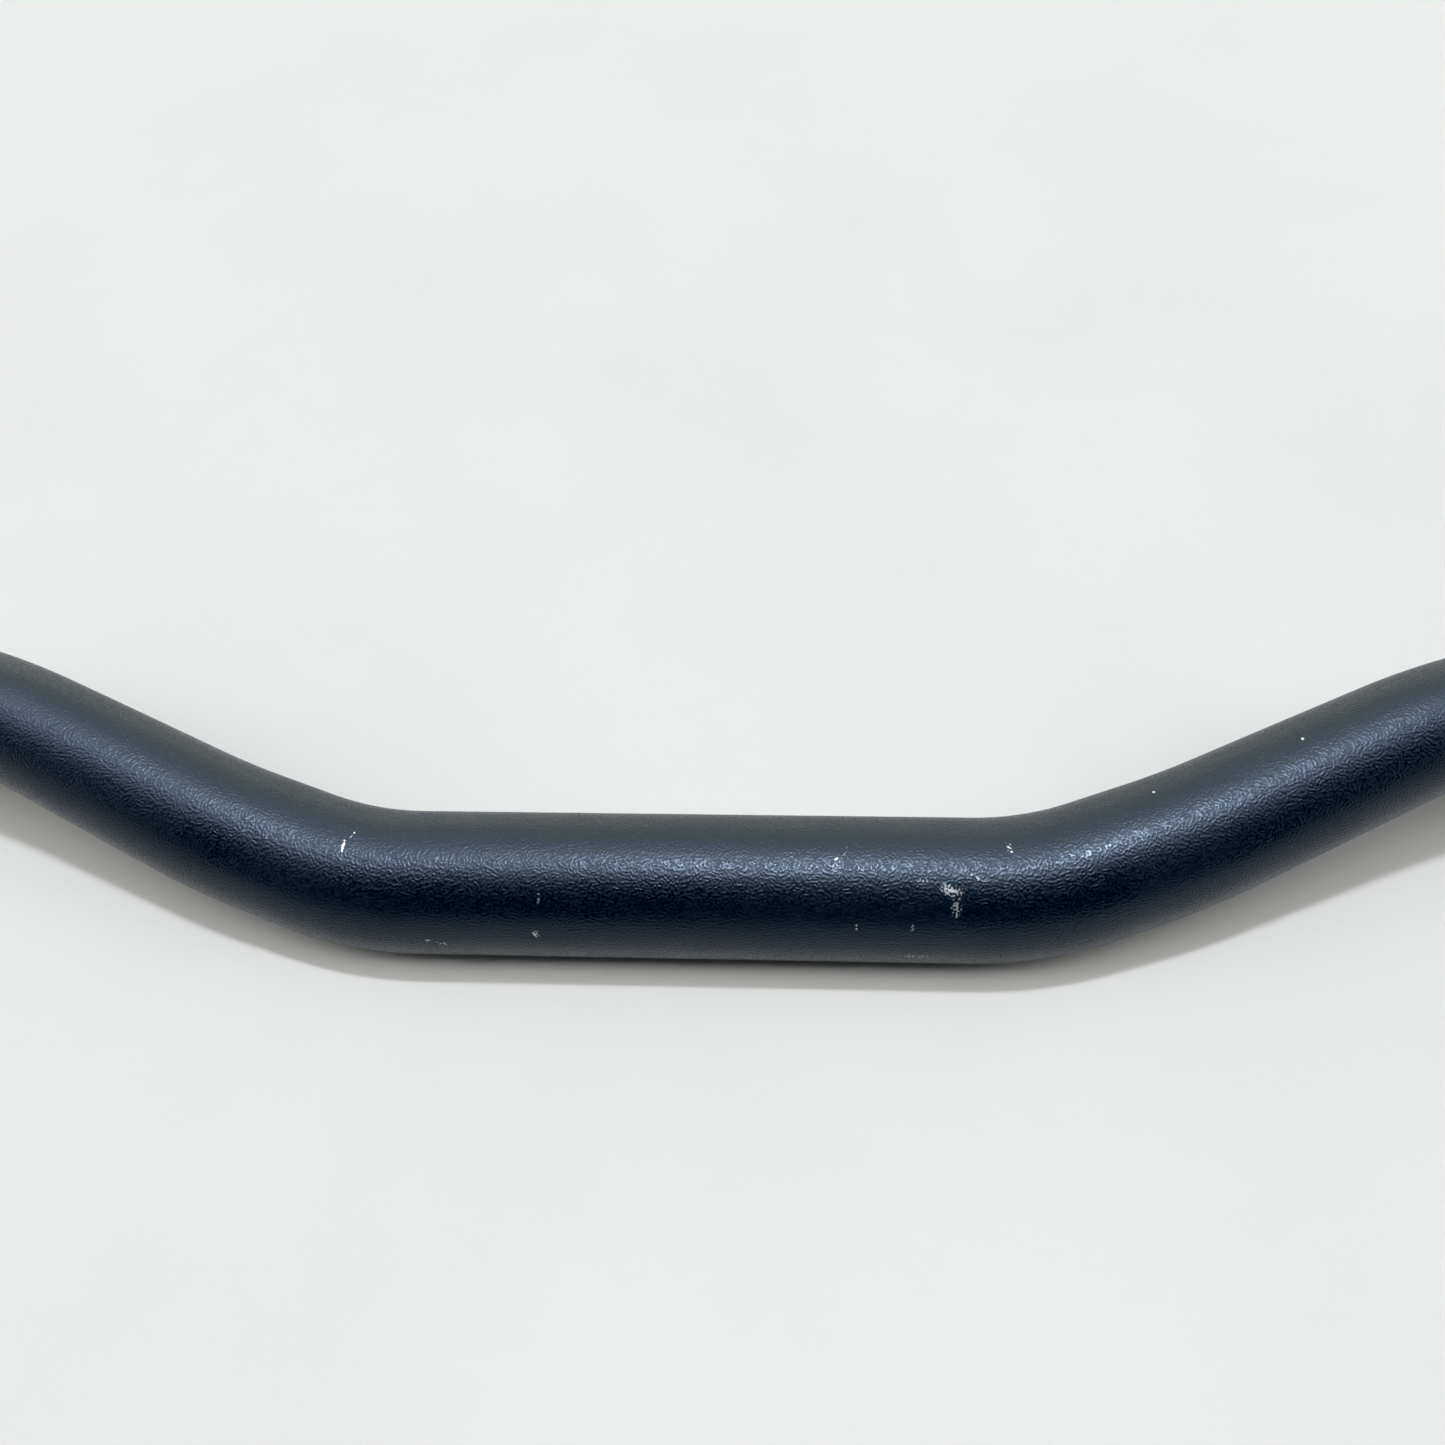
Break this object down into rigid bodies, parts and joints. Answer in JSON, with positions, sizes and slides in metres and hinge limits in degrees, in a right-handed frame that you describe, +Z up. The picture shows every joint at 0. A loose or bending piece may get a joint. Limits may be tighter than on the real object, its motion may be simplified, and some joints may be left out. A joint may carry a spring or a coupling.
{
  "type": "motorcycle handlebar",
  "caption": "Black tapered motorcycle handlebar, bent up and back from a straight clamp section, with a screwed-on weight on each open end.",
  "frame": {"origin": "middle of the straight clamp section, on the tube's axis", "axes": "+X along the clamp section towards the rider's left hand, +Z up from the bench the bar lies on, +Y towards the side that both wings sweep to. Clamped on a motorcycle, the bar is turned about X so that up is about 37 degrees from +Z towards +Y."},
  "size_m": [0.8214, 0.1237, 0.0424],
  "materials": {
    "textured_black": "fine-textured black powder coat",
    "zinc_plate": "bright zinc plate",
    "ring_rubber": "matt moulded",
    "spring_steel": "blued spring steel",
    "satin_black": "satin black paint on turned steel",
    "black_oxide": "black oxide"
  },
  "bodies": {
    "handlebar": {"handlebar_tube": "textured_black", "left_inner_weight": "zinc_plate", "left_damper_ring_outboard": "ring_rubber", "left_damper_ring_inboard": "ring_rubber", "left_retaining_clip": "spring_steel", "right_inner_weight": "zinc_plate", "right_damper_ring_outboard": "ring_rubber", "right_damper_ring_inboard": "ring_rubber", "right_retaining_clip": "spring_steel"},
    "left_end_weight": {"left_end_weight": "satin_black"},
    "left_end_screw": {"left_end_screw": "black_oxide"},
    "right_end_weight": {"right_end_weight": "satin_black"},
    "right_end_screw": {"right_end_screw": "black_oxide"}
  },
  "joints": [
    {"name": "left_end_weight_slide", "type": "slide", "parent": "handlebar", "child": "left_end_weight", "axis": [0.9685, 0.2411, -0.0629], "range_m": [0, 0.012]},
    {"name": "left_end_screw_turn", "type": "hinge", "parent": "left_end_weight", "child": "left_end_screw", "pos_m": [0.375, 0.088, 0.0024], "axis": [0.9685, 0.2411, -0.0629], "range_deg": [0, 4320.5]},
    {"name": "right_end_weight_slide", "type": "slide", "parent": "handlebar", "child": "right_end_weight", "axis": [-0.9685, 0.2411, -0.0629], "range_m": [0, 0.012]},
    {"name": "right_end_screw_turn", "type": "hinge", "parent": "right_end_weight", "child": "right_end_screw", "pos_m": [-0.375, 0.088, 0.0024], "axis": [-0.9685, 0.2411, -0.0629], "range_deg": [0, 4320.5]}
  ],
  "couplings": [
    {"joint": "left_end_screw_turn", "follows": "left_end_weight_slide", "rad_per_m": 6283.2},
    {"joint": "right_end_screw_turn", "follows": "right_end_weight_slide", "rad_per_m": 6283.2}
  ]
}
